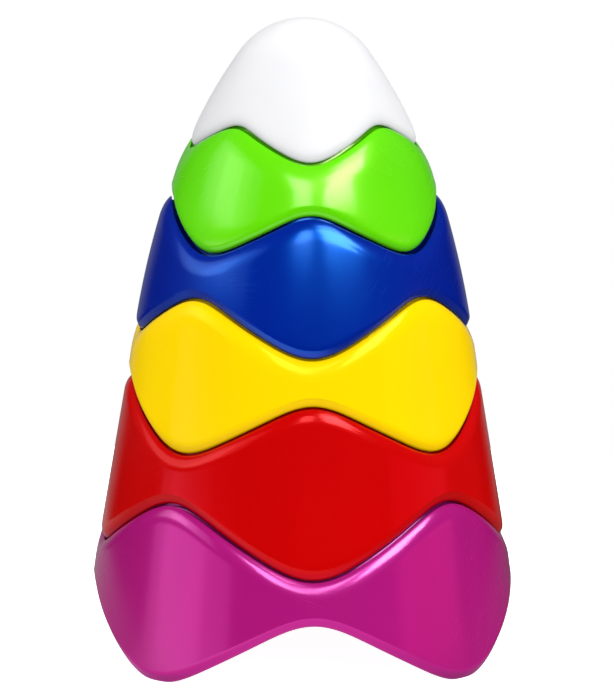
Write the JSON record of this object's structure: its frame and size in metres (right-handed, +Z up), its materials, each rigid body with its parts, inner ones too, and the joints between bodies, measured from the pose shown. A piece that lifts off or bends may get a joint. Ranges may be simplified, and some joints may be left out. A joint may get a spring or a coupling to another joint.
{
  "type": "stacking cup tower",
  "caption": "Toddler's stacking tower: wavy-rimmed nesting cups that seat on each other's shoulders under a rounded dome, in six bright colours.",
  "frame": {"origin": "on the floor under the tower's axis, at the level of the four lobes that the bottom cup stands on", "axes": "+Z up along the tower's axis; +Y to the back, so that the bottom cup shows a crest of its rim, and the red cup a lobe, towards -Y; +X to the right"},
  "size_m": [0.134, 0.134, 0.2032],
  "materials": {
    "magenta_plastic": "smooth moulded gloss",
    "red_plastic": "smooth moulded gloss",
    "yellow_plastic": "smooth moulded gloss",
    "blue_plastic": "smooth moulded gloss",
    "green_plastic": "smooth moulded gloss",
    "white_plastic": "smooth moulded gloss"
  },
  "bodies": {
    "base": {"magenta_cup": "magenta_plastic"},
    "red": {"red_cup": "red_plastic"},
    "yellow": {"yellow_cup": "yellow_plastic"},
    "blue": {"blue_cup": "blue_plastic"},
    "green": {"green_cup": "green_plastic"},
    "dome": {"white_dome": "white_plastic"}
  },
  "joints": [
    {"name": "red_lift", "type": "slide", "parent": "base", "child": "red", "axis": [0, 0, 1], "range_m": [0, 0.04]},
    {"name": "yellow_lift", "type": "slide", "parent": "red", "child": "yellow", "axis": [0, 0, 1], "range_m": [0, 0.04]},
    {"name": "blue_lift", "type": "slide", "parent": "yellow", "child": "blue", "axis": [0, 0, 1], "range_m": [0, 0.04]},
    {"name": "green_lift", "type": "slide", "parent": "blue", "child": "green", "axis": [0, 0, 1], "range_m": [0, 0.04]},
    {"name": "dome_lift", "type": "slide", "parent": "green", "child": "dome", "axis": [0, 0, 1], "range_m": [0, 0.04]}
  ]
}
